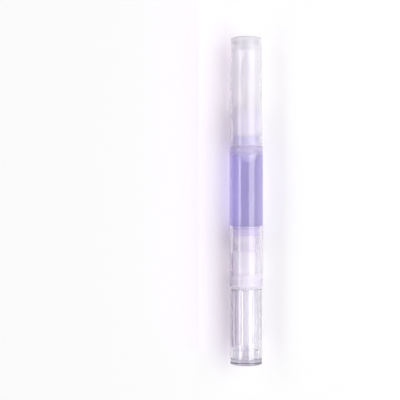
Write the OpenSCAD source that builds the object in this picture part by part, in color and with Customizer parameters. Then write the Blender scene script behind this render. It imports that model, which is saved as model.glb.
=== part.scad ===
// Twist-up nail oil pen with a brush tip, capped and lying on its side.
// Every piece is drawn upright on its own axis, measured from the knob's end, and then laid along +Y.
// All lengths are in millimetres and all angles in degrees.

/* [Cap] */
// Length of the cap
cap_len = 45; // [43:0.5:60]
// Step from the barrel's side in to the cap's mouth
cap_step = 0.2; // [0.1:0.05:0.4]
// How much the cap's side comes in from its mouth to its closed end
cap_taper = 0.25; // [0:0.05:0.5]
// Wall of the cap
cap_wall = 1.05; // [0.8:0.05:1.3]
// Thickness of the cap's closed end
cap_end_t = 1.7; // [1:0.1:2.5]
// Rounding of the closed end's edge
cap_edge_r = 0.6; // [0.2:0.1:0.9]

/* [Cap liner] */
// Thickness of the liner's disc
liner_t = 0.9; // [0.6:0.1:1.4]
// Length of the ring that stands down from the disc round the brush's tip
liner_ring_len = 1.9; // [1:0.1:2]
// Outside diameter of that ring
liner_ring_d = 6.1; // [5.6:0.1:7]
// Wall of that ring
liner_wall = 0.75; // [0.5:0.05:0.9]

/* [Barrel] */
// Outside diameter of the barrel
barrel_d = 13.9; // [12:0.1:16]
// Length of the bore that is left for the oil when the pen is full
chamber_len = 31.7; // [31:0.1:50]
// Wall of the barrel
barrel_wall = 1.25; // [1:0.05:1.4]
// Rounding of the barrel's outer edges
barrel_edge_r = 0.3; // [0.1:0.05:0.5]
// Length of the neck under the cap
neck_len = 15.1; // [14:0.1:17]
// Wall of the neck
neck_wall = 1.1; // [0.9:0.05:1.3]
// Thickness of the shoulder between barrel and neck
shoulder_t = 1.2; // [0.8:0.1:1.6]
// Length of the cone inside the shoulder
shoulder_cone_len = 1.1; // [0.6:0.1:1.4]
// Height of the bead on the neck that the cap snaps over
neck_bead_h = 0.1; // [0.05:0.01:0.12]
// Length of that bead
neck_bead_len = 0.8; // [0.5:0.1:1.2]

/* [Knob] */
// Length of the knob's tube
knob_len = 28.65; // [28:0.5:40]
// Step from the barrel's side in to the knob's rim
knob_step = 0.45; // [0.2:0.05:0.6]
// How much the knob's side goes out from its rim to its base
knob_flare = 0.075; // [0:0.025:0.3]
// Wall of the knob at its rim
knob_wall = 1.2; // [0.9:0.05:1.4]
// Rounding of the knob's rim
knob_edge_r = 0.25; // [0.1:0.05:0.4]
// Number of ribs inside the knob that grip the drive tube
knob_ribs = 8; // [4:1:12]
// Thickness of each rib
knob_rib_w = 0.7; // [0.4:0.1:1]

/* [End plug] */
// Thickness of the end plug's full-width foot
foot_t = 2.45; // [1.8:0.05:3.5]
// Rounding of the foot's bottom edge
foot_edge_r = 0.5; // [0.2:0.1:0.9]
// Length of the plug's spigot inside the knob
spigot_len = 3.65; // [3.4:0.05:4]
// Wall of the spigot
spigot_wall = 1; // [0.7:0.05:1.3]
// Width of the latch window in the spigot
latch_w = 3; // [2:0.1:4]
// Height of the latch window
latch_h = 2.3; // [1.5:0.1:2.6]
// Width of the slits that let the spigot spring
slit_w = 0.3; // [0.2:0.05:0.6]

/* [Retaining bush] */
// Thickness of the bush's flange, seen as a ring between knob and barrel
bush_flange_t = 1.1; // [0.8:0.05:1.6]
// Step from the barrel's side in to the bush's flange
bush_step = 0.35; // [0.1:0.05:0.5]
// Wall of the bush between the drive tube and the barrel
bush_wall = 0.91; // [0.7:0.01:1]
// Length of the bush inside the barrel
bush_len = 4; // [3.6:0.1:5]
// Height of the two snap beads round the bush
bush_bead_h = 0.22; // [0.1:0.02:0.3]
// Length of each snap bead
bush_bead_len = 0.6; // [0.4:0.05:0.8]

/* [Drive tube] */
// Wall of the drive tube
tube_wall = 1.2; // [1:0.1:1.4]
// Gap between the end plug and the drive tube's tail
tube_tail_gap = 1.9; // [0.5:0.1:2.4]
// Length of the drive tube seen between the bush and the ratchet
drive_zone_len = 10.6; // [9:0.1:14]
// Thickness of the flange that the bush holds in
drive_flange_t = 1; // [0.7:0.1:1.5]
// Length of the keyed web that turns the rod
key_web_len = 2.8; // [2:0.1:4]
// Depth of the two flats on the neck that carries the click ring
drive_neck_flat_depth = 0.45; // [0.2:0.05:0.55]

/* [Ratchet] */
// Length of the ratchet ring
ratchet_len = 3; // [2.4:0.1:4]
// Number of ratchet teeth, one click each
ratchet_teeth = 12; // [8:1:16]
// Depth of the ratchet teeth
ratchet_tooth_h = 0.55; // [0.4:0.05:0.6]
// Wall of the ratchet ring outside its teeth
ratchet_wall = 0.65; // [0.5:0.05:0.7]
// Size of the square notches in the ring's rear rim
ratchet_notch_w = 0.7; // [0.4:0.05:0.9]
// Number of sprung pawls on the click ring
pawls = 2; // [1:1:3]
// Thickness of a pawl's arm
pawl_t = 0.42; // [0.3:0.02:0.5]
// Wall of the click ring's hub
click_hub_wall = 0.4; // [0.3:0.05:0.45]
// Angle that each pawl's arm spans
pawl_sweep = 80; // [60:5:100]

/* [Guide nut] */
// Length of the guide nut
nut_len = 3.4; // [3:0.1:5]
// Number of crush ribs round the nut
nut_ribs = 24; // [12:2:30]
// Thickness of each crush rib
nut_rib_w = 0.55; // [0.4:0.05:0.7]
// Height of each crush rib
nut_rib_h = 0.4; // [0.2:0.05:0.6]
// Thickness of the web between the nut's hub and its rim
nut_web_t = 1.2; // [0.8:0.1:2]
// Wall of the nut's rim
nut_rim_wall = 0.9; // [0.6:0.1:1.1]

/* [Screw rod] */
// Diameter of the rod over its thread
rod_d = 4.6; // [4.2:0.1:4.8]
// Width of the rod across its two flats
rod_flat_w = 3.6; // [3.2:0.1:3.8]
// Advance of the rod in one turn of the knob
rod_lead = 2.5; // [1.5:0.25:2.5]
// Turns of the knob from full to empty
full_turns = 12; // [6:1:12]
// Length of rod that stays behind the key web when the pen is empty
rod_tail_len = 2.5; // [1:0.1:3]
// Diameter of the ball at the rod's front end
ball_d = 2.6; // [2.2:0.1:2.8]
// Diameter of the neck behind the ball
ball_neck_d = 1.8; // [1.4:0.1:2]

/* [Piston] */
// Length of the piston
piston_len = 3.6; // [3.4:0.1:5]
// Length of each sealing lip
lip_len = 1.1; // [0.8:0.1:1.3]
// Depth of the waist between the lips
waist_depth = 0.45; // [0.2:0.05:0.7]
// Wall of the piston's skirt at the waist
skirt_wall = 0.7; // [0.5:0.05:0.9]
// Thickness of the piston's front wall
piston_front_t = 0.9; // [0.6:0.1:1.2]
// Wall of the socket round the ball
socket_wall = 1.1; // [0.8:0.1:1.3]
// Width of the slots that let the socket spring
socket_slot_w = 0.4; // [0.3:0.05:0.6]

/* [Neck plug] */
// Length of the neck plug inside the neck
plug_len = 11; // [9:0.1:12]
// Thickness of the plug's flange on the neck's rim
plug_flange_t = 1; // [0.6:0.1:1.5]
// Rounding of the plug's rear edge
plug_tail_r = 1.5; // [0.8:0.1:1.8]
// Number of sealing beads round the plug
plug_beads = 3; // [1:1:3]
// Length of each sealing bead
plug_bead_len = 0.7; // [0.4:0.1:0.9]
// Depth of the plug's socket for the nozzle
socket_len = 6.9; // [5:0.1:7]

// Wall of the plug round that socket
plug_wall = 1.19; // [0.9:0.01:1.5]

/* [Brush] */
// How far the nozzle's collar stands out round its root
collar_step = 0.95; // [0.5:0.05:1.2]
// Thickness of the collar
collar_t = 1.2; // [0.8:0.1:1.6]
// Diameter of the nozzle's cone where it leaves the collar
cone_d = 6.8; // [6:0.1:6.9]
// Diameter of the nozzle's tip
nozzle_tip_d = 4.9; // [4.6:0.1:5.4]
// Gap between the brush's tip and the liner in the cap
tip_gap = 2.4; // [1:0.1:4]
// Diameter of the tuft where the nozzle holds it
tuft_d = 3.8; // [3.4:0.1:4]
// Length of the tuft held inside the nozzle
tuft_root_len = 8; // [5:0.1:9]
// Length of the brush hair in front of the nozzle
hair_len = 9.4; // [7:0.1:10]
// Thickness of one brush hair
hair_d = 0.085; // [0.06:0.005:0.09]
// Rings of brush hair
hair_rings = 9; // [8:1:9]
// Brush hairs in each ring
hair_sectors = 34; // [30:1:34]
// Outside diameter of the feed tube
feed_d = 1.2; // [1:0.1:1.4]
// Wall of the feed tube
feed_wall = 0.25; // [0.15:0.01:0.3]
// Length of feed tube standing in the hair past the nozzle
feed_reach = 0.8; // [0.2:0.1:2]

/* [Oil] */
// Radius of the air bubble's round underside
bubble_r = 3.4; // [2.8:0.1:4]
// Depth of the bubble below the top of the bore
bubble_depth = 1.3; // [0.8:0.1:1.6]
// Distance of the bubble's middle behind the shoulder
bubble_back = 3.3; // [2.6:0.1:6]
// Sideways offset of the bubble's middle
bubble_aside = 0.5; // [0:0.1:1]

/* [Clearances] */
// Radial gap of pieces that seat in each other and stay put
seat_gap = 0.03; // [0.02:0.005:0.04]
// Radial gap of pieces that turn or slide in each other
run_gap = 0.06; // [0.04:0.005:0.08]
// Radial gap between the neck and the cap's wall where they are closest
cap_gap = 0.2; // [0.15:0.01:0.3]
// Gap along the axis between pieces that turn or part
end_gap = 0.1; // [0.05:0.01:0.2]

/* [Hidden] */
$fn = 96;

// How far a cut runs past the face that it opens
overrun = 1;
// Steps of a rounded edge
edge_steps = 5;
// Angle, in a piece's own frame, of the side that faces up when the pen lies down
up_angle = -90;

// Stations along the axis, from the foot of the knob
knob_start = foot_t;
knob_end = knob_start + knob_len;
spigot_end = knob_start + spigot_len;
bush_start = knob_end + end_gap;
barrel_start = bush_start + bush_flange_t;
bush_end = barrel_start + bush_len;
ratchet_start = bush_end + drive_zone_len;
nut_start = ratchet_start + ratchet_len;
nut_end = nut_start + nut_len;
piston_start = nut_end + end_gap;
piston_end = piston_start + piston_len;
chamber_end = piston_end + chamber_len;
shoulder = chamber_end + shoulder_t;
neck_end = shoulder + neck_len;
cap_start = shoulder + end_gap;
overall = cap_start + cap_len;
cap_inside_end = overall - cap_end_t;
plug_start = neck_end - plug_len;
plug_end = neck_end + plug_flange_t;
nozzle_end = cap_inside_end - liner_t - tip_gap - hair_len;
tuft_start = nozzle_end - tuft_root_len;

// Radii that fits depend on, each from the piece round it or the piece in it
barrel_r = barrel_d / 2;
bore_r = barrel_r - barrel_wall;
cap_mouth_r = barrel_r - cap_step;
neck_r = cap_bore_at(neck_end) - cap_gap;
neck_bore_r = neck_r - neck_wall;
knob_rim_r = barrel_r - knob_step;
knob_base_r = knob_rim_r + knob_flare;
knob_bore_r = knob_rim_r - knob_wall;
bush_bore_r = bore_r - seat_gap - bush_wall;
tube_r = bush_bore_r - run_gap;
tube_bore_r = tube_r - tube_wall;
rod_r = rod_d / 2;
rod_hole_r = rod_r + run_gap;
rod_hole_flat_w = rod_flat_w + 2 * run_gap;
feed_r = feed_d / 2;
feed_hole_r = feed_r + seat_gap;
tuft_r = tuft_d / 2;
travel = rod_lead * full_turns;

// Radius of the cap's bore at a station
function cap_bore_at(z) = cap_mouth_r - cap_taper * (z - cap_start) / cap_len - cap_wall;

// Points of an arc about (x, y)
function arc(x, y, r, from, to, steps = edge_steps) =
  [for (i = [0 : steps]) let (a = from + (to - from) * i / steps) [x + r * cos(a), y + r * sin(a)]];

// Points of a rounded outer edge that faces up, and of one that faces down
function edge_up(r, z, round) = arc(r - round, z - round, round, 0, 90);
function edge_down(r, z, round) = arc(r - round, z + round, round, -90, 0);

// Points of a low pointed bead or groove on a radius, in order of rising height
function bead(r, z, h, len) = [[r, z - len / 2], [r + h, z - len / 8], [r + h, z + len / 8], [r, z + len / 2]];
function reversed(points) = [for (i = [len(points) - 1 : -1 : 0]) points[i]];
function on_circle(r, a) = [r * cos(a), r * sin(a)];

// A solid turned from its outline
module turned(points) {
  rotate_extrude() polygon(points);
}

// Copies of a shape spaced evenly round the axis
module around(count, phase = 0) {
  for (i = [0 : count - 1]) rotate([0, 0, phase + 360 * i / count]) children();
}

// A round hole along the axis
module hole(r, from, to) {
  translate([0, 0, from]) cylinder(r = r, h = to - from);
}

// A round bar with two flats, as a prism along the axis
module flatted_bar(r, width, from, to) {
  translate([0, 0, from])
    linear_extrude(to - from)
      intersection() {
        circle(r = r);
        square([width, 2 * r + overrun], center = true);
      }
}

// Lays a piece down along +Y on the barrel's side, with the pen's middle at the origin
module lying() {
  translate([0, -overall / 2, barrel_r]) rotate([-90, 0, 0]) children();
}

// Cap and its liner

neck_bead_z = cap_start + 2.5 * neck_bead_len;
cap_bead_z = neck_bead_z - 1.25 * neck_bead_len;
cap_bead_h = cap_bore_at(cap_bead_z) - neck_r - seat_gap;
mouth_edge_r = cap_edge_r / 3;

module cap() {
  color("gainsboro")
    turned(concat(
      [[0, overall], [0, cap_inside_end]],
      [[cap_bore_at(cap_inside_end), cap_inside_end]],
      reversed(bead(cap_bore_at(cap_bead_z), cap_bead_z, -cap_bead_h, neck_bead_len)),
      [[cap_bore_at(cap_start), cap_start]],
      edge_down(cap_mouth_r, cap_start, mouth_edge_r),
      edge_up(cap_mouth_r - cap_taper, overall, cap_edge_r)
    ));
}

module cap_inner_plug() {
  disc_start = cap_inside_end - liner_t;
  ring_start = disc_start - liner_ring_len;
  disc_r = cap_bore_at(cap_inside_end) - seat_gap;
  ring_r = liner_ring_d / 2;
  color("whitesmoke")
    turned([
      [0, cap_inside_end],
      [0, disc_start],
      [ring_r - liner_wall, disc_start],
      [ring_r - liner_wall, ring_start],
      [ring_r - liner_wall / 2, ring_start],
      [ring_r, ring_start + liner_wall / 2],
      [ring_r, disc_start],
      [disc_r, disc_start],
      [disc_r, cap_inside_end]
    ]);
}

// Brush: a tuft on a feed tube, held in a nozzle that sits in the neck plug

// Share of its root radius that each hair stands at, and share of the hair's length, ring by ring
hair_spread_shares = [1, 1.2, 0.42];
hair_height_shares = [0, 0.5, 1];
// Share of the hair's length by which the outermost hairs are shorter than the middle ones
hair_dome_share = 0.3;
// Share of a hair's thickness that is left at its tip
hair_tip_share = 0.55;
// Distance of a hair's three corners from its middle, as a share of its thickness
hair_corner_share = 1 / sqrt(3);
// Distance from the tuft's backing to the nozzle's tip
backing_inset = 1.2;

backing_end = nozzle_end - backing_inset;
backing_start = backing_end - (tuft_root_len - backing_inset);
hair_inner_r = feed_hole_r;
hair_outer_r = tuft_r - seat_gap;
hair_levels = len(hair_height_shares);

// Radii of the circles that part one ring of hairs from the next, closer together towards the outside
function ring_edge(i) =
  sqrt(pow(hair_inner_r, 2) + (pow(hair_outer_r, 2) - pow(hair_inner_r, 2)) * pow(i / hair_rings, 1.25));
function sector_angle(j) = 360 * j / hair_sectors;

// The three corners of a hair of ring i and sector j at one of its levels
function hair_corners(i, j, level) =
  let (
    middle_r = (ring_edge(i) + ring_edge(i + 1)) / 2,
    out_share = pow(middle_r / hair_outer_r, 2),
    tall = (hair_len + backing_inset) * (1 - hair_dome_share * out_share),
    r = middle_r * hair_spread_shares[level],
    z = backing_end + tall * hair_height_shares[level],
    d = hair_d * hair_corner_share * (level == hair_levels - 1 ? hair_tip_share : 1),
    a = sector_angle(j + 0.5)
  )
  [for (turn = [180, -60, 60]) concat(on_circle(r, a) + on_circle(d, a + turn), [z])];

// All points: the top grid, the bottom rims, and then the hairs
hair_grid_points = [for (i = [0 : hair_rings], j = [0 : hair_sectors - 1])
  concat(on_circle(ring_edge(i), sector_angle(j)), [backing_end])];
hair_rim_points = [for (i = [0, hair_rings], j = [0 : hair_sectors - 1])
  concat(on_circle(ring_edge(i), sector_angle(j)), [backing_start])];
hair_points = [for (i = [0 : hair_rings - 1], j = [0 : hair_sectors - 1], level = [0 : hair_levels - 1])
  each hair_corners(i, j, level)];

function grid_at(i, j) = i * hair_sectors + j % hair_sectors;
function rim_at(outer, j) = len(hair_grid_points) + outer * hair_sectors + j % hair_sectors;
function hair_at(i, j, level, corner) =
  len(hair_grid_points) + len(hair_rim_points)
  + ((i * hair_sectors + j) * hair_levels + level) * 3 + corner % 3;

// Two triangles of a four-sided face
function quad(a, b, c, d) = [[a, b, c], [a, c, d]];

// The backing's top round the root of one hair
function cell_faces(i, j) =
  let (
    a = grid_at(i, j), b = grid_at(i + 1, j), c = grid_at(i + 1, j + 1), d = grid_at(i, j + 1),
    p = hair_at(i, j, 0, 0), q = hair_at(i, j, 0, 1), s = hair_at(i, j, 0, 2)
  )
  [[a, q, b], [a, p, q], [b, s, c], [b, q, s], [c, s, d], [d, s, p], [d, p, a]];

function hair_faces(i, j) = concat(
  [for (level = [0 : hair_levels - 2], corner = [0 : 2])
    each quad(
      hair_at(i, j, level, corner), hair_at(i, j, level + 1, corner),
      hair_at(i, j, level + 1, corner + 1), hair_at(i, j, level, corner + 1)
    )],
  [[for (corner = [2 : -1 : 0]) hair_at(i, j, hair_levels - 1, corner)]]
);

function backing_faces(j) = concat(
  quad(rim_at(1, j), grid_at(hair_rings, j), grid_at(hair_rings, j + 1), rim_at(1, j + 1)),
  quad(rim_at(0, j + 1), grid_at(0, j + 1), grid_at(0, j), rim_at(0, j)),
  quad(rim_at(0, j), rim_at(1, j), rim_at(1, j + 1), rim_at(0, j + 1))
);

module brush_tuft() {
  color("ghostwhite")
    polyhedron(
      concat(hair_grid_points, hair_rim_points, hair_points),
      concat(
        [for (i = [0 : hair_rings - 1], j = [0 : hair_sectors - 1]) each cell_faces(i, j)],
        [for (i = [0 : hair_rings - 1], j = [0 : hair_sectors - 1]) each hair_faces(i, j)],
        [for (j = [0 : hair_sectors - 1]) each backing_faces(j)]
      )
    );
}

// The neck plug's body inside its beads, and the nozzle's root in the plug's socket
plug_bead_h = 4 * seat_gap;
plug_body_r = neck_bore_r - seat_gap - plug_bead_h;
plug_socket_r = plug_body_r - plug_wall;
nozzle_root_r = plug_socket_r - seat_gap;
collar_r = nozzle_root_r + collar_step;

nozzle_start = plug_end - socket_len + end_gap;
collar_end = plug_end + collar_t;
nozzle_flare = (nozzle_tip_d - tuft_d) / 7;
nozzle_edge_r = (nozzle_tip_d - tuft_d) / 4;

module brush_nozzle() {
  color("white")
    turned(concat(
      [[feed_hole_r, nozzle_start]],
      edge_down(nozzle_root_r, nozzle_start, nozzle_edge_r),
      [[nozzle_root_r, plug_end]],
      edge_down(collar_r, plug_end, nozzle_edge_r),
      edge_up(collar_r, collar_end, nozzle_edge_r),
      [[cone_d / 2, collar_end]],
      edge_up(nozzle_tip_d / 2, nozzle_end, nozzle_edge_r),
      [[tuft_r + nozzle_flare, nozzle_end], [tuft_r, backing_end], [tuft_r, tuft_start]],
      [[feed_hole_r, tuft_start]]
    ));
}

module feed_tube() {
  tube_start = plug_start + plug_tail_r / 2;
  tube_end = nozzle_end + feed_reach;
  color("lightgray")
    turned([
      [feed_r - feed_wall, tube_start],
      [feed_r, tube_start],
      [feed_r, tube_end],
      [feed_r - feed_wall, tube_end]
    ]);
}

module neck_plug() {
  bead_pitch = (plug_len - plug_tail_r) / (plug_beads + 1);
  socket_floor = plug_end - socket_len;
  color("white")
    turned(concat(
      [[feed_hole_r, plug_start]],
      edge_down(plug_body_r, plug_start, plug_tail_r),
      [for (i = [1 : plug_beads])
        each bead(plug_body_r, plug_start + plug_tail_r + i * bead_pitch, plug_bead_h, plug_bead_len)],
      [[plug_body_r, neck_end], [neck_r - end_gap, neck_end]],
      edge_up(neck_r - end_gap, plug_end, plug_flange_t / 4),
      [[plug_socket_r, plug_end], [plug_socket_r, socket_floor], [feed_hole_r, socket_floor]]
    ));
}

// Barrel and oil

// Shares of the bush's length at which its two beads snap into the barrel
bush_bead_shares = [0.36, 0.68];

bush_bead_z = [for (share = bush_bead_shares) barrel_start + share * bush_len];
bush_groove_h = bush_bead_h + seat_gap;
bush_groove_len = bush_bead_len + 4 * seat_gap;
cone_end = chamber_end + shoulder_cone_len;

module barrel() {
  color("lavender")
    turned(concat(
      edge_down(barrel_r, barrel_start, barrel_edge_r),
      edge_up(barrel_r, shoulder, barrel_edge_r),
      [[neck_r, shoulder]],
      bead(neck_r, neck_bead_z, neck_bead_h, neck_bead_len),
      edge_up(neck_r, neck_end, barrel_edge_r),
      [[neck_bore_r, neck_end], [neck_bore_r, cone_end], [bore_r, chamber_end]],
      reversed(bead(bore_r, bush_bead_z[1], bush_groove_h, bush_groove_len)),
      reversed(bead(bore_r, bush_bead_z[0], bush_groove_h, bush_groove_len)),
      [[bore_r, barrel_start]]
    ));
}

module oil_charge() {
  top_of_bore = bore_r - seat_gap;
  color("mediumpurple")
    difference() {
      turned([
        [0, piston_end + end_gap],
        [bore_r - seat_gap, piston_end + end_gap],
        [bore_r - seat_gap, chamber_end - seat_gap],
        [neck_bore_r - seat_gap, cone_end - seat_gap],
        [neck_bore_r - seat_gap, plug_start - end_gap],
        [0, plug_start - end_gap]
      ]);
      rotate([0, 0, up_angle])
        translate([top_of_bore - bubble_depth + bubble_r, bubble_aside, chamber_end - bubble_back])
          sphere(r = bubble_r);
    }
}

// Piston and rod

ball_r = ball_d / 2;
cavity_r = ball_r + run_gap;
ball_z = piston_end - piston_front_t - cavity_r;
entry_r = ball_neck_d / 2 + 3 * run_gap;
boss_r = cavity_r + socket_wall;

module piston() {
  lip_r = bore_r - run_gap;
  waist_r = lip_r - waist_depth;
  pocket_r = waist_r - skirt_wall;
  pocket_end = piston_end - piston_front_t;
  color("plum")
    difference() {
      turned(concat(
        [[0, piston_start]],
        edge_down(lip_r, piston_start, waist_depth / 2),
        [[lip_r, piston_start + lip_len - waist_depth], [waist_r, piston_start + lip_len]],
        [[waist_r, piston_end - lip_len], [lip_r, piston_end - lip_len + waist_depth]],
        edge_up(lip_r, piston_end, waist_depth / 2),
        [[0, piston_end]]
      ));
      turned([
        [boss_r, piston_start - overrun],
        [pocket_r, piston_start - overrun],
        [pocket_r, pocket_end - skirt_wall],
        [pocket_r - skirt_wall / 2, pocket_end],
        [boss_r, pocket_end]
      ]);
      hole(entry_r, piston_start - overrun, ball_z);
      translate([0, 0, ball_z]) sphere(r = cavity_r);
      around(4)
        translate([0, -socket_slot_w / 2, piston_start - overrun])
          cube([boss_r, socket_slot_w, overrun + ball_z - piston_start]);
    }
}

key_start = ratchet_start - key_web_len;
rod_start = key_start - travel - rod_tail_len;
rod_thread_end = nut_end;
rod_chamfer = (rod_d - rod_flat_w) / 2;

module screw_rod() {
  color("white")
    union() {
      intersection() {
        turned([
          [0, rod_start],
          [rod_r - rod_chamfer, rod_start],
          [rod_r, rod_start + rod_chamfer],
          [rod_r, rod_thread_end],
          [0, rod_thread_end]
        ]);
        flatted_bar(rod_r + overrun, rod_flat_w, rod_start - overrun, rod_thread_end + overrun);
      }
      hole(ball_neck_d / 2, rod_thread_end - rod_chamfer, ball_z);
      translate([0, 0, ball_z]) sphere(r = ball_r);
    }
}

// Guide nut, ratchet and drive

// Share of the room between the rod and the nut's rim that the nut's hub fills
nut_hub_share = 0.55;

module guide_nut() {
  rib_tip_r = sqrt(pow(bore_r - seat_gap, 2) - pow(nut_rib_w / 2, 2));
  rim_r = rib_tip_r - nut_rib_h;
  rim_inner_r = rim_r - nut_rim_wall;
  hub_r = rod_hole_r + nut_hub_share * (rim_inner_r - rod_hole_r);
  web_start = nut_end - nut_web_t;
  color("gainsboro")
    union() {
      turned([
        [rod_hole_r, nut_start],
        [hub_r, nut_start],
        [hub_r, web_start],
        [rim_inner_r, web_start],
        [rim_inner_r, nut_start],
        [rim_r, nut_start],
        [rim_r, nut_end],
        [rod_hole_r + rod_chamfer / 2, nut_end],
        [rod_hole_r, nut_end - rod_chamfer / 2]
      ]);
      around(nut_ribs)
        translate([rim_r - nut_rim_wall / 2, -nut_rib_w / 2, nut_start])
          cube([rib_tip_r - rim_r + nut_rim_wall / 2, nut_rib_w, nut_len - nut_rib_h]);
    }
}

ratchet_r = bore_r - seat_gap;
tooth_root_r = ratchet_r - ratchet_wall;
tooth_tip_r = tooth_root_r - ratchet_tooth_h;
tooth_pitch = 360 / ratchet_teeth;
ramp_steps = 4;
// Share of the tooth pitch that a ramp takes up; the steep side has the rest
ramp_share = 0.995;

// The inner side of the ring: each tooth climbs slowly to its tip and drops straight back to the root
ratchet_inside = [for (i = [0 : ratchet_teeth - 1], k = [0 : ramp_steps])
  on_circle(tooth_root_r - ratchet_tooth_h * k / ramp_steps, tooth_pitch * (i + ramp_share * k / ramp_steps))];

module ratchet_ring() {
  color("silver")
    difference() {
      hole(ratchet_r, ratchet_start, nut_start);
      translate([0, 0, ratchet_start - overrun])
        linear_extrude(ratchet_len + 2 * overrun) polygon(ratchet_inside);
      around(ratchet_teeth, up_angle + tooth_pitch / 2)
        translate([tooth_root_r, -ratchet_notch_w / 2, ratchet_start - overrun])
          cube([ratchet_wall + overrun, ratchet_notch_w, ratchet_notch_w + overrun]);
    }
}

// Share of the room between the rod and the ratchet's teeth that the drive tube's neck fills
drive_neck_share = 0.375;

drive_neck_r = rod_hole_r + drive_neck_share * (tooth_tip_r - rod_hole_r);
drive_neck_flat_w = 2 * (drive_neck_r - drive_neck_flat_depth);
click_hub_r = drive_neck_r + seat_gap + click_hub_wall;
pawl_tip_r = tooth_root_r - run_gap;
pawl_steps = 10;
// How fast an arm leaves the teeth, as the power of its share of the sweep
pawl_curve_share = 0.6;
// Angle between a tooth's steep side and the pawl's tip that rests against it
pawl_rest_angle = 1.2;

function pawl_r(share) = pawl_tip_r - (pawl_tip_r - click_hub_r) * pow(share, pawl_curve_share);
function pawl_edge(inset) = [for (k = [0 : pawl_steps])
  on_circle(pawl_r(k / pawl_steps) - inset, pawl_rest_angle + pawl_sweep * k / pawl_steps)];

module click_ring() {
  color("whitesmoke")
    translate([0, 0, ratchet_start + end_gap])
      linear_extrude(ratchet_len - 2 * end_gap)
        difference() {
          union() {
            circle(r = click_hub_r);
            around(pawls)
              polygon(concat(pawl_edge(0), reversed(pawl_edge(pawl_t))));
          }
          intersection() {
            circle(r = drive_neck_r + seat_gap);
            square([drive_neck_flat_w + 2 * seat_gap, 2 * click_hub_r], center = true);
          }
        }
}

drive_start = spigot_end + tube_tail_gap;
drive_shoulder = ratchet_start - 2 * end_gap;
drive_end = nut_start - 2 * end_gap;
drive_flange_start = bush_end + end_gap;
drive_flange_r = bore_r - 2 * run_gap;

module drive_tube() {
  color("aliceblue")
    difference() {
      union() {
        turned(concat(
          [[0, drive_start]],
          edge_down(tube_r, drive_start, tube_wall / 3),
          [[tube_r, drive_flange_start], [drive_flange_r, drive_flange_start]],
          edge_up(drive_flange_r, drive_flange_start + drive_flange_t, drive_flange_t / 3),
          [[tube_r, drive_flange_start + drive_flange_t]],
          edge_up(tube_r, drive_shoulder, tube_wall / 4),
          [[0, drive_shoulder]]
        ));
        flatted_bar(drive_neck_r, drive_neck_flat_w, drive_shoulder - overrun, drive_end);
      }
      hole(tube_bore_r, drive_start - overrun, key_start);
      flatted_bar(rod_hole_r, rod_hole_flat_w, key_start - overrun, drive_end + overrun);
    }
}

module retaining_bush() {
  bush_r = bore_r - seat_gap;
  bush_flange_r = barrel_r - bush_step;
  color("whitesmoke")
    turned(concat(
      [[bush_bore_r, bush_start]],
      edge_down(bush_flange_r, bush_start, bush_flange_t / 5),
      edge_up(bush_flange_r, barrel_start, bush_flange_t / 5),
      [[bush_r, barrel_start]],
      bead(bush_r, bush_bead_z[0], bush_bead_h, bush_bead_len),
      bead(bush_r, bush_bead_z[1], bush_bead_h, bush_bead_len),
      [[bush_r, bush_end - bush_bead_h], [bush_r - bush_bead_h, bush_end], [bush_bore_r, bush_end]]
    ));
}

// Knob and its end plug

module knob() {
  rib_start = drive_start + tube_wall / 2;
  rib_len = knob_end - bush_flange_t - rib_start;
  rib_inner_r = tube_r + seat_gap;
  color("azure")
    union() {
      turned(concat(
        [[knob_bore_r, knob_start], [knob_base_r, knob_start]],
        edge_up(knob_rim_r, knob_end, knob_edge_r),
        [[knob_bore_r, knob_end]]
      ));
      around(knob_ribs, up_angle + 180 / knob_ribs)
        translate([rib_inner_r, -knob_rib_w / 2, rib_start])
          cube([knob_bore_r + knob_wall / 2 - rib_inner_r, knob_rib_w, rib_len]);
    }
}

// Angle of the latch window from the top of the lying pen
latch_angle = 7;
// Width of the bar between the window and the slit beside it
latch_bar_w = 0.15;
slits = 4;

module end_plug() {
  spigot_r = knob_bore_r - seat_gap;
  latch_start = knob_start + (spigot_len - latch_h) / 4;
  slit_angle = latch_angle - asin((latch_w / 2 + latch_bar_w + slit_w / 2) / spigot_r);
  color("lightsteelblue")
    difference() {
      turned(concat(
        [[0, 0]],
        edge_down(knob_base_r, 0, foot_edge_r),
        [[knob_base_r, foot_t], [spigot_r, foot_t]],
        edge_up(spigot_r, spigot_end, spigot_wall / 4),
        [[spigot_r - spigot_wall, spigot_end], [spigot_r - spigot_wall, foot_t], [0, foot_t]]
      ));
      rotate([0, 0, up_angle + latch_angle])
        translate([spigot_r - spigot_wall - overrun, -latch_w / 2, latch_start])
          cube([spigot_wall + 2 * overrun, latch_w, latch_h]);
      around(slits, up_angle + slit_angle)
        translate([spigot_r - spigot_wall - overrun, -slit_w / 2, foot_t])
          cube([spigot_wall + 2 * overrun, slit_w, spigot_len + overrun]);
    }
}

lying() cap();
lying() cap_inner_plug();
lying() brush_tuft();
lying() brush_nozzle();
lying() feed_tube();
lying() neck_plug();
lying() barrel();
lying() oil_charge();
lying() piston();
lying() screw_rod();
lying() guide_nut();
lying() ratchet_ring();
lying() click_ring();
lying() drive_tube();
lying() retaining_bush();
lying() knob();
lying() end_plug();
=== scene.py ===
"""Looks of the twist-up nail oil pen: plastics, oil with its bubble, brush hair, threaded rod, studio."""

import math
import random

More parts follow.
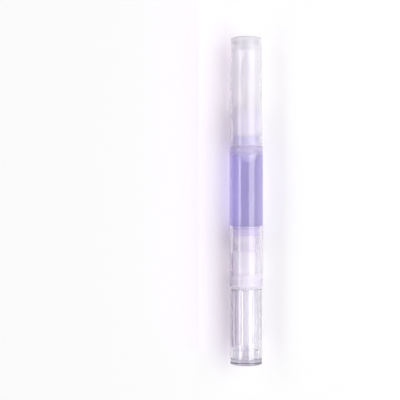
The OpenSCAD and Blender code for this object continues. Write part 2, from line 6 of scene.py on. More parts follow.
import bpy
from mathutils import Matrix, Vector


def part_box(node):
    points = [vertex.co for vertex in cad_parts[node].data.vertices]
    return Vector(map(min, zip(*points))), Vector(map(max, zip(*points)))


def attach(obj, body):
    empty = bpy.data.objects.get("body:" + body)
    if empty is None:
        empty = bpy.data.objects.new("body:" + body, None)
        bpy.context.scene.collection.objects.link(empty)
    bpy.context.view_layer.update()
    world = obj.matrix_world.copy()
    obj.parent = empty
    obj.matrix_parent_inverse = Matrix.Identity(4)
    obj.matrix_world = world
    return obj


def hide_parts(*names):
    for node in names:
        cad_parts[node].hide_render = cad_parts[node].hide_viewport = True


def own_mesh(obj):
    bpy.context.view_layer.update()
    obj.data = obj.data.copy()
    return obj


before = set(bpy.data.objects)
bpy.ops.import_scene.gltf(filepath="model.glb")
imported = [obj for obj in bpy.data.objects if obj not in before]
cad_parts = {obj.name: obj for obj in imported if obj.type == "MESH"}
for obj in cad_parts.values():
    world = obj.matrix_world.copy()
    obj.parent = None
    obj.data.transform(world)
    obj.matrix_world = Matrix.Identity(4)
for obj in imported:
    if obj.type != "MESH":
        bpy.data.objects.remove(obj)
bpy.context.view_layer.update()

MM = 0.001

# Places, from the frame

CAP_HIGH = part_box("cap")[1]
BARREL_LOW, BARREL_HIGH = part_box("barrel")
OIL_LOW, OIL_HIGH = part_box("oil_charge")
ROD_LOW, ROD_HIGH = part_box("screw_rod")
TUFT_LOW, TUFT_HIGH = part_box("brush_tuft")
NOZZLE_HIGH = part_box("brush_nozzle")[1]
FOOT_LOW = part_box("end_plug")[0]
AXIS_HEIGHT = (BARREL_LOW.z + BARREL_HIGH.z) / 2
AXIS = Vector((0, 0, AXIS_HEIGHT))

# Sizes of the solids that their boxes don't show

FOOT_THICKNESS = 2.45 * MM
NECK_LENGTH = 15.1 * MM
FOOT_Y = FOOT_LOW.y + FOOT_THICKNESS
SHOULDER_Y = BARREL_HIGH.y - NECK_LENGTH


def half_width(low, high):
    """Half the width of a box across the pen."""
    return (high.x - low.x) / 2


# Camera

# The photograph is 400 pixels square, and the pen's middle stands at this column and row
PHOTO_SIDE_PX = 400
PEN_COLUMN_PX = 246.2
PEN_ROW_PX = 201.0
# Width that the photograph covers at the height of the pen's axis
PHOTO_WIDTH = 165.6 * MM
CAMERA_RISE = 490 * MM
SENSOR_WIDTH = 36.0
NEAREST_SEEN = 1 * MM


def make_camera():
    """Looks straight down, with the top of the picture towards the cap."""
    scale = PHOTO_WIDTH / PHOTO_SIDE_PX
    data = bpy.data.cameras.new("camera")
    data.sensor_width = SENSOR_WIDTH
    data.lens = SENSOR_WIDTH * CAMERA_RISE / PHOTO_WIDTH
    data.clip_start = NEAREST_SEEN
    camera = bpy.data.objects.new("camera", data)
    camera.location = (
        (PHOTO_SIDE_PX / 2 - PEN_COLUMN_PX) * scale,
        (PEN_ROW_PX - PHOTO_SIDE_PX / 2) * scale,
        AXIS_HEIGHT + CAMERA_RISE,
    )
    bpy.context.collection.objects.link(camera)
    bpy.context.scene.camera = camera


# Studio

# Lamps and floor are in metres
LAMP_DISTANCE = 1.6
# Each softbox: name, angle from straight up towards +X, angle that it spans, length and radiance
SOFTBOXES = [
    ("softbox_right", 39.0, 43.0, 2.20, 3.1),
    ("strip_left", -51.0, 18.0, 2.20, 3.2),
]
WORLD_STRENGTH = 0.20
FLOOR_SIZE = 4.0
FLOOR_COLOR = (0.985, 0.98, 0.985, 1)
# Low mauve cards that stand on the floor, out of sight, and darken the pen's left side.
# Each: name, its folds as x and y, and whether the floor takes its colour too.
# The near ones only show in the plastic, so that they leave no mark on the floor
CARDS = [
    ("card_left", [(-19.5 * MM, -62 * MM), (-19.5 * MM, 110 * MM)], True),
    ("card_cap", [(-17.5 * MM, 28 * MM), (-15.5 * MM, 45 * MM), (-18.0 * MM, 60 * MM)], False),
    ("card_knob", [(-11.0 * MM, -61 * MM), (-13.5 * MM, -22 * MM)], False),
]
CARD_HEIGHT = 14 * MM
CARD_COLOR = (0.41, 0.32, 0.45, 1)
PAPER_ROUGHNESS = 0.9


def make_lamp(name, angle, span, length, radiance):
    """A softbox that faces the pen from one side."""
    width = 2 * LAMP_DISTANCE * math.tan(math.radians(span / 2))
    data = bpy.data.lights.new(name, "AREA")
    data.shape = "RECTANGLE"
    data.size = width
    data.size_y = length
    data.energy = math.pi * radiance * width * length
    lamp = bpy.data.objects.new(name, data)
    tilt = math.radians(angle)
    lamp.location = AXIS + LAMP_DISTANCE * Vector((math.sin(tilt), 0, math.cos(tilt)))
    lamp.rotation_euler = (0, tilt, 0)
    bpy.context.collection.objects.link(lamp)


def make_world():
    """Lights softly from all round, and is plain white to the camera, in reflections and through plastic."""
    world = bpy.data.worlds.new("world")
    world.use_nodes = True
    tree = world.node_tree
    background = tree.nodes["Background"]
    path = tree.nodes.new("ShaderNodeLightPath")

    def clamped(operation, first, second):
        node = tree.nodes.new("ShaderNodeMath")
        node.operation = operation
        node.use_clamp = True
        for source, target in zip((first, second), node.inputs):
            tree.links.new(source, target)
        return node.outputs["Value"]

    seen = clamped("ADD", path.outputs["Is Camera Ray"], path.outputs["Is Glossy Ray"])
    seen = clamped("ADD", seen, path.outputs["Is Transmission Ray"])
    # A ray that has met a dull surface on its way carries light to it, so it finds the lit level
    seen = clamped("SUBTRACT", seen, path.outputs["Diffuse Depth"])
    shown = tree.nodes.new("ShaderNodeMix")
    shown.data_type = "FLOAT"
    shown.inputs["A"].default_value = WORLD_STRENGTH
    shown.inputs["B"].default_value = 1.0
    tree.links.new(seen, shown.inputs["Factor"])
    tree.links.new(shown.outputs["Result"], background.inputs["Strength"])
    background.inputs["Color"].default_value = (1, 1, 1, 1)
    bpy.context.scene.world = world


def make_sheet(name, points, faces, color):
    """A sheet of dull paper, flat or with folds, which belongs to the studio."""
    data = bpy.data.meshes.new(name)
    data.from_pydata(points, [], faces)
    material = bpy.data.materials.new(name + "_paper")
    material.use_nodes = True
    shader = material.node_tree.nodes["Principled BSDF"]
    shader.inputs["Base Color"].default_value = color
    shader.inputs["Roughness"].default_value = PAPER_ROUGHNESS
    shader.inputs["Specular IOR Level"].default_value = 0.0
    data.materials.append(material)
    sheet = bpy.data.objects.new(name, data)
    bpy.context.collection.objects.link(sheet)
    return sheet


def make_floor():
    half = FLOOR_SIZE / 2
    corners = [(-half, -half, 0), (half, -half, 0), (half, half, 0), (-half, half, 0)]
    make_sheet("floor", corners, [(0, 1, 2, 3)], FLOOR_COLOR)


def make_card(name, folds, tints_floor):
    edges = [(x, y, z) for x, y in folds for z in (0, CARD_HEIGHT)]
    panels = [(i, i + 2, i + 3, i + 1) for i in range(0, len(edges) - 2, 2)]
    card = make_sheet(name, edges, panels, CARD_COLOR)
    card.visible_camera = False
    card.visible_shadow = False
    card.visible_diffuse = tints_floor


def make_studio():
    for softbox in SOFTBOXES:
        make_lamp(*softbox)
    make_world()
    make_floor()
    for card in CARDS:
        make_card(*card)
    bpy.context.scene.view_settings.view_transform = "Standard"


# Materials

# Most of the noise lies between these two levels
NOISE_LOW = 0.3
NOISE_HIGH = 0.7
NOISE_DETAIL = 2.0


class Finish:
    """A material under construction: its tree, its Principled shader and short ways to add nodes."""

    def __init__(self, name):
        self.material = bpy.data.materials.new(name)
        self.material.use_nodes = True
        self.tree = self.material.node_tree
        self.nodes = self.tree.nodes
        self.shader = self.nodes["Principled BSDF"]
        self.output = self.nodes["Material Output"]
        self.coordinates = self.nodes.new("ShaderNodeTexCoord").outputs["Object"]
        self.color = None

    def link(self, source, target):
        self.tree.links.new(source, target)

    def give(self, value, target):
        """Links a pattern to target, or sets target to a plain number or colour."""
        if isinstance(value, bpy.types.NodeSocket):
            self.link(value, target)
        elif isinstance(value, tuple):
            target.default_value = (*value, 1)
        else:
            target.default_value = value

    def set(self, **values):
        """Sets the shader's own sockets, named with underscores for spaces."""
        for name, value in values.items():
            self.shader.inputs[name.replace("_", " ")].default_value = value

    def noise(self, per_mm, stretch=1.0):
        """Noise with so many cells a millimetre, drawn out along the pen by stretch."""
        mapping = self.nodes.new("ShaderNodeMapping")
        cells = per_mm / MM
        mapping.inputs["Scale"].default_value = (cells, cells / stretch, cells)
        self.link(self.coordinates, mapping.inputs["Vector"])
        texture = self.nodes.new("ShaderNodeTexNoise")
        texture.inputs["Scale"].default_value = 1.0
        texture.inputs["Detail"].default_value = NOISE_DETAIL
        self.link(mapping.outputs["Vector"], texture.inputs["Vector"])
        return texture.outputs["Fac"]

    def paint(self, color):
        """Makes color the base colour."""
        self.color = color
        self.link(color, self.shader.inputs["Base Color"])

    def tint(self, source, dark, light):
        """Base colour that goes from dark to light with source."""
        ramp = self.nodes.new("ShaderNodeValToRGB")
        stops = ((NOISE_LOW, dark), (NOISE_HIGH, light))
        for element, (position, color) in zip(ramp.color_ramp.elements, stops):
            element.position = position
            element.color = (*color, 1)
        self.link(source, ramp.inputs["Fac"])
        self.paint(ramp.outputs["Color"])

    def spread(self, source, start, end, low, high):
        """A number that goes from low to high while source goes from start to end."""
        node = self.nodes.new("ShaderNodeMapRange")
        limits = {"From Min": start, "From Max": end, "To Min": low, "To Max": high}
        for name, limit in limits.items():
            node.inputs[name].default_value = limit
        self.link(source, node.inputs["Value"])
        return node.outputs["Result"]

    def roughness(self, source, low, high):
        self.link(self.spread(source, NOISE_LOW, NOISE_HIGH, low, high), self.shader.inputs["Roughness"])

    def bump(self, source, height, strength):
        """Raises the surface by source times height."""
        node = self.nodes.new("ShaderNodeBump")
        node.inputs["Strength"].default_value = strength
        node.inputs["Distance"].default_value = height
        self.link(source, node.inputs["Height"])
        self.link(node.outputs["Normal"], self.shader.inputs["Normal"])

    def along(self, stations, low, high):
        """A number that goes from low to high between two stations along the pen."""
        place = self.nodes.new("ShaderNodeSeparateXYZ")
        self.link(self.coordinates, place.inputs["Vector"])
        return self.spread(place.outputs["Y"], *stations, low, high)

    def combine(self, operation, first, second):
        """Works out a number from two others."""
        node = self.nodes.new("ShaderNodeMath")
        node.operation = operation
        self.link(first, node.inputs[0])
        self.link(second, node.inputs[1])
        return node.outputs["Value"]

    def fade(self, share, first, second, blend="MIX"):
        """Colour that goes from first to second with share, or to first blended with second."""
        mixed = self.nodes.new("ShaderNodeMix")
        mixed.data_type = "RGBA"
        mixed.blend_type = blend
        self.give(first, mixed.inputs["A"])
        self.give(second, mixed.inputs["B"])
        self.link(share, mixed.inputs["Factor"])
        return mixed.outputs["Result"]

    def shade(self, share, color):
        """Multiplies a share of the base colour by color."""
        self.paint(self.fade(share, self.color, color, "MULTIPLY"))

    def absorb(self, color, density):
        """Takes up light on its way through, so many times a metre, all but the share in color."""
        inside = self.nodes.new("ShaderNodeVolumeAbsorption")
        inside.inputs["Color"].default_value = (*color, 1)
        inside.inputs["Density"].default_value = density
        self.link(inside.outputs["Volume"], self.output.inputs["Volume"])

    def milk(self, share, color, through=0.5):
        """Mixes in a share of light that scatters; through is the part of it that comes from behind."""
        diffuse = self.nodes.new("ShaderNodeBsdfDiffuse")
        translucent = self.nodes.new("ShaderNodeBsdfTranslucent")
        both = self.nodes.new("ShaderNodeMixShader")
        mixed = self.nodes.new("ShaderNodeMixShader")
        for node in (diffuse, translucent):
            self.give(color, node.inputs["Color"])
        both.inputs["Fac"].default_value = through
        self.link(diffuse.outputs["BSDF"], both.inputs[1])
        self.link(translucent.outputs["BSDF"], both.inputs[2])
        self.give(share, mixed.inputs["Fac"])
        self.link(self.surface(), mixed.inputs[1])
        self.link(both.outputs["Shader"], mixed.inputs[2])
        self.link(mixed.outputs["Shader"], self.output.inputs["Surface"])

    def surface(self):
        """The shader that now feeds the surface."""
        return self.output.inputs["Surface"].links[0].from_socket

    def let_lamps_through(self, color):
        """Lamps reach through the plastic with this tint instead of as slow, noisy caustics."""
        path = self.nodes.new("ShaderNodeLightPath")
        clear = self.nodes.new("ShaderNodeBsdfTransparent")
        clear.inputs["Color"].default_value = (*color, 1)
        mixed = self.nodes.new("ShaderNodeMixShader")
        self.link(path.outputs["Is Shadow Ray"], mixed.inputs["Fac"])
        self.link(self.surface(), mixed.inputs[1])
        self.link(clear.outputs["BSDF"], mixed.inputs[2])
        self.link(mixed.outputs["Shader"], self.output.inputs["Surface"])

    def dress(self, *names):
        """Gives the finish to CAD nodes."""
        for name in names:
            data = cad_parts[name].data
            data.materials.clear()
            data.materials.append(self.material)


# Pairs of stations along the pen between which a look comes in

CAP_END_MILK = (CAP_HIGH.y - 5 * MM, CAP_HIGH.y - 1 * MM)
SHOULDER_MILK = (SHOULDER_Y - 4.2 * MM, SHOULDER_Y - 0.8 * MM)
# Painted light: between these, the oil's purple is painted into the barrel's milk where oil stands behind it
SHOULDER_PAINTED_OIL_LIGHT = (SHOULDER_Y - 4 * MM, SHOULDER_Y - 1 * MM)
NECK_PAINTED_OIL_LIGHT_START = (SHOULDER_Y, SHOULDER_Y + 0.5 * MM)
NECK_PAINTED_OIL_LIGHT_END = (OIL_HIGH.y + 0.2 * MM, OIL_HIGH.y - 0.2 * MM)
REAR_MILK = (BARREL_LOW.y + 6 * MM, BARREL_LOW.y + 4 * MM)
OIL_FRONT_MILK = (OIL_HIGH.y - 8 * MM, OIL_HIGH.y - 4.5 * MM)
FOOT_SHADE = (FOOT_Y, FOOT_Y - 0.1 * MM)


def frosted_cap():
    """Frosted plastic, milkier in the thick closed end than in the wall."""
    finish = Finish("cap_frosted_polypropylene")
    finish.set(IOR=1.49, Transmission_Weight=1.0)
    finish.tint(finish.noise(0.12, stretch=3), dark=(0.93, 0.93, 0.945), light=(0.955, 0.955, 0.965))
    finish.roughness(finish.noise(0.4, stretch=16), low=0.035, high=0.05)
    finish.bump(finish.noise(0.3, stretch=12), height=0.02 * MM, strength=0.1)
    share = finish.along(CAP_END_MILK, low=0.28, high=0.45)
    finish.milk(share, (0.91, 0.905, 0.935), through=0.3)
    finish.let_lamps_through((0.75, 0.725, 0.755))
    return finish


# The oil's front end shows as a dark line of painted shade, which fades out this far on either side
OIL_EDGE_PAINTED_SHADE_FADE = 0.4 * MM
# The milk's plain colour, and the oil's purple that is painted into it as light
PLAIN_MILK_COLOR = (0.94, 0.915, 0.985)
PAINTED_OIL_LIGHT_MILK_COLOR = (0.64, 0.54, 0.98)
OIL_EDGE_PAINTED_SHADE_COLOR = (0.22, 0.16, 0.45)


def barrel_milk_color(finish):
    """White milk, with painted light: the oil's purple where oil stands behind it, and painted shade at its
    front end.
    """
    in_neck = finish.combine(
        "MULTIPLY",
        finish.along(NECK_PAINTED_OIL_LIGHT_END, low=0.0, high=1.0),
        finish.along(NECK_PAINTED_OIL_LIGHT_START, low=0.0, high=1.0),
    )
    # Share of the oil's purple painted into the milk, as painted light
    tone = finish.combine("MAXIMUM", finish.along(SHOULDER_PAINTED_OIL_LIGHT, low=0.0, high=0.16), in_neck)
    # Painted shade: a dark line in the milk at the oil's front end
    painted_edge_shade = finish.combine(
        "MULTIPLY",
        finish.along((OIL_HIGH.y - OIL_EDGE_PAINTED_SHADE_FADE, OIL_HIGH.y), low=0.0, high=1.0),
        finish.along((OIL_HIGH.y + OIL_EDGE_PAINTED_SHADE_FADE, OIL_HIGH.y), low=0.0, high=1.0),
    )
    color = finish.fade(tone, PLAIN_MILK_COLOR, PAINTED_OIL_LIGHT_MILK_COLOR)
    return finish.fade(painted_edge_shade, color, OIL_EDGE_PAINTED_SHADE_COLOR)


def clear_barrel():
    """Clear plastic, milky at the shoulder and neck and round the rear joint."""
    finish = Finish("barrel_clear_plastic")
    finish.set(IOR=1.5, Transmission_Weight=1.0, Specular_Tint=(0.75, 0.75, 0.75, 1))
    finish.tint(finish.noise(0.1, stretch=4), dark=(0.955, 0.95, 0.97), light=(0.975, 0.972, 0.985))
    finish.roughness(finish.noise(0.4, stretch=16), low=0.03, high=0.04)
    finish.bump(finish.noise(0.25, stretch=12), height=0.012 * MM, strength=0.1)
    finish.absorb((0.5, 0.45, 0.6), density=30.0)
    share = finish.combine(
        "MAXIMUM",
        finish.along(SHOULDER_MILK, low=0.08, high=0.52),
        finish.along(REAR_MILK, low=0.0, high=0.32),
    )
    finish.milk(share, barrel_milk_color(finish))
    finish.let_lamps_through((0.83, 0.81, 0.84))
    return finish


def crystal_styrene(name, density):
    """Clear plastic, a little grey where light goes a long way through it."""
    finish = Finish(name)
    finish.set(IOR=1.57, Transmission_Weight=1.0)
    finish.tint(finish.noise(0.1, stretch=4), dark=(0.965, 0.96, 0.985), light=(0.98, 0.976, 0.992))
    finish.roughness(finish.noise(0.4, stretch=16), low=0.02, high=0.03)
    finish.bump(finish.noise(0.2, stretch=12), height=0.01 * MM, strength=0.08)
    finish.absorb((0.55, 0.53, 0.6), density)
    finish.milk(0.06, (0.85, 0.84, 0.89))
    finish.let_lamps_through((0.85, 0.83, 0.86))
    return finish


def crystal_knob():
    return crystal_styrene("knob_crystal_styrene", density=90.0)


def crystal_foot():
    """The knob's plastic, clearer because the foot is thick, and with a touch of painted shade in the foot
    itself.
    """
    finish = crystal_styrene("foot_crystal_styrene", density=76.0)
    # Painted shade: the foot's colour is multiplied a little darker
    finish.shade(finish.along(FOOT_SHADE, low=0.0, high=1.0), (0.98, 0.98, 0.985))
    return finish


# Share of green light that reaches through natural plastic, next to red and blue
GREEN_SHARE = 0.985


def natural_plastic(name, milk, rough, tone=(1, 1, 1), clearness=0.77):
    """Unpigmented moulded plastic, between clear and white; tone multiplies its colours."""

    def toned(*color):
        return tuple(a * b for a, b in zip(color, tone))

    finish = Finish(name)
    finish.set(IOR=1.49, Transmission_Weight=1.0)
    dark = toned(0.95, 0.94, 0.965)
    light = toned(0.975, 0.97, 0.985)
    finish.tint(finish.noise(0.2, stretch=2), dark, light)
    finish.roughness(finish.noise(0.8), *rough)
    finish.bump(finish.noise(0.8, stretch=3), height=0.008 * MM, strength=0.2)
    finish.milk(milk, toned(0.90, 0.89, 0.92))
    finish.let_lamps_through(toned(clearness, GREEN_SHARE * clearness, clearness))
    return finish


def lavender_oil():
    """Clear lavender liquid, paler at its front end."""
    finish = Finish("oil_lavender_liquid")
    finish.set(IOR=1.46, Transmission_Weight=1.0, Roughness=0.0, Base_Color=(0.99, 0.985, 1.0, 1))
    finish.absorb((0.34, 0.275, 0.68), density=100.0)
    finish.milk(finish.along(OIL_FRONT_MILK, low=0.0, high=0.25), (0.86, 0.80, 1.0))
    finish.let_lamps_through((0.95, 0.94, 0.96))
    return finish


def nylon_hair():
    finish = Finish("brush_nylon")
    finish.set(IOR=1.53, Transmission_Weight=0.85)
    finish.tint(finish.noise(1.5, stretch=6), dark=(0.90, 0.89, 0.92), light=(0.97, 0.965, 0.98))
    finish.roughness(finish.noise(3), low=0.2, high=0.35)
    finish.milk(0.2, (0.9, 0.89, 0.92))
    finish.let_lamps_through((0.95, 0.945, 0.955))
    return finish


# Meshes

SHARP_ANGLE = math.radians(28)


def add_piece(name, points, faces, finish, body):
    """A new mesh piece that rides on a body and takes the finish that it is given."""
    data = bpy.data.meshes.new(name)
    data.from_pydata(points, [], faces)
    data.validate()
    data.shade_smooth()
    data.set_sharp_from_angle(angle=SHARP_ANGLE)
    data.materials.append(finish.material)
    piece = bpy.data.objects.new(name, data)
    bpy.context.collection.objects.link(piece)
    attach(piece, body)
    return piece


def around_axis(radius, angle, y):
    """A point at an angle round the pen's axis, counted from the top towards +X."""
    return (radius * math.sin(angle), y, AXIS_HEIGHT + radius * math.cos(angle))


def turn_angles(count):
    """So many angles, evenly spread over a full turn."""
    return [2 * math.pi * i / count for i in range(count)]


def skin(rows, columns):
    """Faces of a tube of rows of points, closed by a fan at each end; the last two points are the ends."""
    faces = []
    for i in range(rows - 1):
        for j in range(columns):
            k = (j + 1) % columns
            faces.append((i * columns + j, i * columns + k, (i + 1) * columns + k, (i + 1) * columns + j))
    first_end = rows * columns
    for j in range(columns):
        k = (j + 1) % columns
        faces.append((first_end, k, j))
        faces.append((first_end + 1, (rows - 1) * columns + j, (rows - 1) * columns + k))
    return faces


def steps(start, end, count):
    """Evenly spaced numbers from start to end, in count steps."""
    return [start + (end - start) * i / count for i in range(count + 1)]


def smoothstep(value):
    """Goes from 0 to 1 without a corner while value does."""
    value = min(max(value, 0.0), 1.0)
    return value * value * (3 - 2 * value)


# Oil

# The oil wets the walls, so its skin lies this far inside the plastic round it
WETTING = 0.05 * MM
# Gap that the solid leaves to the bore
OIL_GAP = 0.03 * MM
# How much less the neck's radius is than the bore's, and how long the cone between them is
NECK_WALL_STEP = 1.383 * MM
SHOULDER_CONE = 1.1 * MM
NECK_OIL_Y = OIL_HIGH.y - 4.1 * MM
# The oil in the neck stands still and starts this far inside the oil that the piston pushes
OIL_OVERLAP = 0.05 * MM
OIL_EDGE = 0.25 * MM

# The skin's rows are close together on this stretch behind the cone, which holds the bubble
FINE_STRETCH = 9 * MM
FIRST_ROW_GAP = 1 * MM
FINE_ROW_GAP = 0.1 * MM
COARSE_ROWS = 16
FINE_ROWS = 110
CONE_ROWS = 12
NECK_ROWS = 12
OIL_COLUMNS = 240

BUBBLE_CENTER_Y = OIL_HIGH.y - 7.6 * MM
BUBBLE_HALF_LENGTH = 3.5 * MM
BUBBLE_HALF_ANGLE = math.radians(36)
BUBBLE_ANGLE = math.radians(10)
BUBBLE_DEPTH = 4.8 * MM
# Share of the depth that the wide bowl makes, and how far in from the rim the bowl and the steep rim reach
BOWL_SHARE = 0.55
BOWL_REACH = 0.6
RIM_REACH = 0.1


def bubble_dent(y, angle):
    """Depth of the air bubble under the bore's top, with a steep rim and a flat floor."""
    across = (angle - BUBBLE_ANGLE + math.pi) % (2 * math.pi) - math.pi
    u = across / BUBBLE_HALF_ANGLE
    v = (y - BUBBLE_CENTER_Y) / BUBBLE_HALF_LENGTH
    inside = 1 - math.sqrt(u * u + v * v)
    bowl = BOWL_SHARE * smoothstep(inside / BOWL_REACH)
    rim = (1 - BOWL_SHARE) * smoothstep(inside / RIM_REACH)
    return BUBBLE_DEPTH * (bowl + rim)


def rounded_end(y, radius, inwards):
    """Rows from the oil's end into it that round its edge; inwards is 1 or -1 along the pen."""
    return [
        (y, radius - OIL_EDGE),
        (y + inwards * OIL_EDGE / 3, radius - OIL_EDGE / 4),
        (y + inwards * OIL_EDGE, radius),
    ]


def oil_rows():
    """Rows of the oil's skin in the bore, and then in the neck: y, radius."""
    bore = half_width(OIL_LOW, OIL_HIGH) + OIL_GAP + WETTING
    neck = bore - NECK_WALL_STEP
    cone_y = NECK_OIL_Y - SHOULDER_CONE
    fine_y = cone_y - FINE_STRETCH
    wide = rounded_end(OIL_LOW.y, bore, 1)
    wide += [(y, bore) for y in steps(OIL_LOW.y + FIRST_ROW_GAP, fine_y, COARSE_ROWS)]
    wide += [(y, bore) for y in steps(fine_y + FINE_ROW_GAP, cone_y - FINE_ROW_GAP, FINE_ROWS)]
    wide += [(cone_y + SHOULDER_CONE * t, bore - NECK_WALL_STEP * t) for t in steps(0.0, 1.0, CONE_ROWS)]
    narrow = [(y, neck) for y in steps(NECK_OIL_Y - OIL_OVERLAP, OIL_HIGH.y - OIL_EDGE, NECK_ROWS)[:-1]]
    narrow += reversed(rounded_end(OIL_HIGH.y, neck, -1))
    return wide, narrow


def add_oil(name, rows, finish):
    points = []
    for y, radius in rows:
        for angle in turn_angles(OIL_COLUMNS):
            points.append(around_axis(radius - bubble_dent(y, angle), angle, y))
    points += [(0, rows[0][0], AXIS_HEIGHT), (0, rows[-1][0], AXIS_HEIGHT)]
    oil = add_piece(name, points, skin(len(rows), OIL_COLUMNS), finish, "barrel")
    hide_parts("oil_charge")
    return oil


def make_oil(finish):
    """The oil in the bore, which gives way to the piston, and the oil that stays in the neck."""
    wide, narrow = oil_rows()
    pushed = add_oil("oil_lavender", wide, finish)
    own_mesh(pushed)
    add_oil("oil_neck", narrow, finish)


# Screw rod

ROD_LEAD = 2.5 * MM
THREAD_DEPTH = 0.34 * MM
# Where the thread's flank meets the root, from the crest's middle, and how wide it is, in half leads
FLANK_FOOT = 0.78
FLANK_WIDTH = 0.45
ROD_FLAT_WIDTH = 3.6 * MM
ROD_CHAMFER = 0.5 * MM
ROD_NECK_R = 0.9 * MM
ROD_NECK_STEP = 0.02 * MM
BALL_R = 1.3 * MM
# From the thread's end to the ball's middle
BALL_REACH = 1.44 * MM
BALL_END_ANGLE = math.radians(176)
BALL_ROWS = 22
ROD_COLUMNS = 96
ROD_ROWS_PER_TURN = 18
# Keeps a division by the sine of an angle away from zero
LEAST_SINE = 1e-6


def thread_height(phase):
    """Share of the thread's depth at a phase of one turn: a trapezoid with rounded flanks."""
    distance = abs((phase % 1.0) - 0.5) * 2
    return smoothstep((FLANK_FOOT - distance) / FLANK_WIDTH)


def rod_radius(y, angle, outer):
    """Radius of the thread, cut by the two flats."""
    turn = angle / (2 * math.pi)
    radius = outer - THREAD_DEPTH * (1 - thread_height((y - ROD_LOW.y) / ROD_LEAD - turn))
    return min(radius, ROD_FLAT_WIDTH / 2 / max(abs(math.sin(angle)), LEAST_SINE))


def make_rod(finish):
    """The rod with its thread, its two flats, and the ball that sits in the piston."""
    # The flats make the box narrower one way
    outer = max(half_width(ROD_LOW, ROD_HIGH), (ROD_HIGH.z - ROD_LOW.z) / 2)
    ball_y = ROD_HIGH.y - BALL_R
    thread_end = ball_y - BALL_REACH
    points = []
    count = round((thread_end - ROD_LOW.y) / ROD_LEAD * ROD_ROWS_PER_TURN)
    for y in steps(ROD_LOW.y, thread_end, count):
        from_end = min(y - ROD_LOW.y, thread_end - y)
        limit = outer - ROD_CHAMFER * (1 - min(from_end / ROD_CHAMFER, 1))
        for angle in turn_angles(ROD_COLUMNS):
            points.append(around_axis(min(rod_radius(y, angle, outer), limit), angle, y))
    neck_turn = math.asin(ROD_NECK_R / BALL_R)
    tail = [(thread_end + ROD_NECK_STEP, ROD_NECK_R)]
    for a in steps(neck_turn, BALL_END_ANGLE, BALL_ROWS):
        tail.append((ball_y - BALL_R * math.cos(a), BALL_R * math.sin(a)))
    for y, radius in tail:
        points += [around_axis(radius, angle, y) for angle in turn_angles(ROD_COLUMNS)]
    points += [(0, ROD_LOW.y, AXIS_HEIGHT), (0, ROD_HIGH.y, AXIS_HEIGHT)]
    faces = skin(count + 1 + len(tail), ROD_COLUMNS)
    rod = add_piece("rod_threaded", points, faces, finish, "rod")
    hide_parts("screw_rod")


# Brush hair

HAIR_COUNT = 620
HAIR_R = 0.042 * MM
HAIR_SIDES = 5
HAIR_ROWS = 9
HAIR_SEED = 7
FEED_R = 0.63 * MM
# Widest radius to which the hair's roots reach
TUFT_R = 1.87 * MM
# How far inside the nozzle's mouth the roots sit
ROOT_DEPTH = 1.2 * MM
GOLDEN_ANGLE = math.pi * (3 - math.sqrt(5))
# Share of its root radius at which a hair stands, at its root, middle and tip
HAIR_SPREAD_SHARES = (1.0, 1.2, 0.42)
# Share by which the outermost hairs are shorter, and by which a hair is thinner at its tip
HAIR_DOME_SHARE = 0.3
HAIR_THINNING = 0.55
# Between what limits hairs differ: in length, in their turn round the axis, and in how far out the tip is
LENGTH_SHARES = (0.965, 1.0)
DRIFTS = (-0.12, 0.12)
TIP_SHARES = (0.97, 1.03)


def spread_share(t):
    """The parabola through the three spread shares."""
    root, middle, tip = HAIR_SPREAD_SHARES
    return root * (1 - t) * (1 - 2 * t) + 4 * middle * t * (1 - t) + tip * t * (2 * t - 1)


def hair_points(draw, n, outer, root_y, reach):
    """Points of the hair with number n, counted outwards in a sunflower's spiral."""
    share = math.sqrt((n + 0.5) / HAIR_COUNT)
    root_r = FEED_R + (outer - HAIR_R - FEED_R) * share
    length = reach * (1 - HAIR_DOME_SHARE * (root_r / outer) ** 2) * draw.uniform(*LENGTH_SHARES)
    drift = draw.uniform(*DRIFTS)
    tip_share = draw.uniform(*TIP_SHARES)
    points = []
    for t in steps(0.0, 1.0, HAIR_ROWS - 1):
        middle_r = root_r * spread_share(t) * (1 + (tip_share - 1) * t)
        x, y, z = around_axis(middle_r, n * GOLDEN_ANGLE + drift * t * t, root_y + length * t)
        thin = HAIR_R * (1 - HAIR_THINNING * t ** 3)
        for turn in turn_angles(HAIR_SIDES):
            points.append((x + thin * math.sin(turn), y, z + thin * math.cos(turn)))
    return points


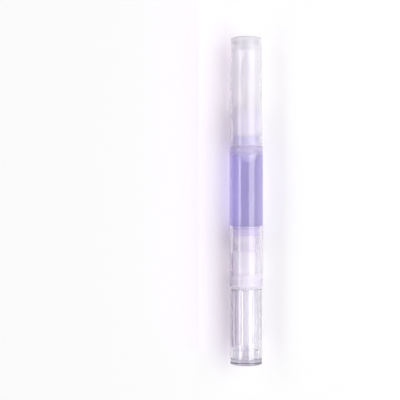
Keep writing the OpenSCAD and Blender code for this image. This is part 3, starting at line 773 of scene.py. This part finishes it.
def hair_faces(first):
    """Faces of one hair whose points start at number first."""
    faces = []
    for i in range(HAIR_ROWS - 1):
        for k in range(HAIR_SIDES):
            a = first + i * HAIR_SIDES + k
            b = first + i * HAIR_SIDES + (k + 1) % HAIR_SIDES
            faces.append((a, b, b + HAIR_SIDES, a + HAIR_SIDES))
    last = first + (HAIR_ROWS - 1) * HAIR_SIDES
    faces.append(tuple(first + k for k in reversed(range(HAIR_SIDES))))
    faces.append(tuple(last + k for k in range(HAIR_SIDES)))
    return faces


def make_brush(finish):
    draw = random.Random(HAIR_SEED)
    root_y = NOZZLE_HIGH.y - ROOT_DEPTH
    outer = min(half_width(TUFT_LOW, TUFT_HIGH), TUFT_R)
    points, faces = [], []
    for n in range(HAIR_COUNT):
        faces += hair_faces(len(points))
        points += hair_points(draw, n, outer, root_y, TUFT_HIGH.y - root_y)
    brush = add_piece("brush_hair", points, faces, finish, "barrel")
    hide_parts("brush_tuft")


# Clear parts lie one behind another, so light needs many bounces to come through
LIGHT_BOUNCES = 24
CLEAR_LAYERS = 32

make_camera()
make_studio()

frosted_cap().dress("cap")
clear_barrel().dress("barrel")
crystal_knob().dress("knob")
crystal_foot().dress("end_plug")
liner = natural_plastic("liner_polyethylene", milk=0.15, rough=(0.12, 0.2), clearness=0.95)
liner.dress("cap_inner_plug")
nozzle = natural_plastic("nozzle_polypropylene", milk=0.2, rough=(0.08, 0.14), clearness=0.9)
nozzle.dress("brush_nozzle", "neck_plug", "feed_tube")
mechanism = natural_plastic("mechanism_polypropylene", milk=0.5, rough=(0.12, 0.2), clearness=0.79)
mechanism.dress("guide_nut", "click_ring", "drive_tube")
ring = natural_plastic("ring_acetal", milk=0.5, rough=(0.12, 0.2), tone=(0.93, 0.92, 0.945), clearness=0.8)
ring.dress("ratchet_ring")
bush = natural_plastic("bush_polypropylene", milk=0.75, rough=(0.25, 0.35))
bush.dress("retaining_bush")
# The piston's lavender tone is painted light: the purple that reaches it from the oil
wiper = natural_plastic("piston_polypropylene", milk=0.5, rough=(0.12, 0.2), tone=(0.90, 0.86, 1.0))
wiper.dress("piston")

make_oil(lavender_oil())
make_rod(natural_plastic("rod_acetal", milk=0.6, rough=(0.2, 0.3)))
make_brush(nylon_hair())

cycles = bpy.context.scene.cycles
cycles.max_bounces = LIGHT_BOUNCES
cycles.transmission_bounces = LIGHT_BOUNCES
cycles.transparent_max_bounces = CLEAR_LAYERS
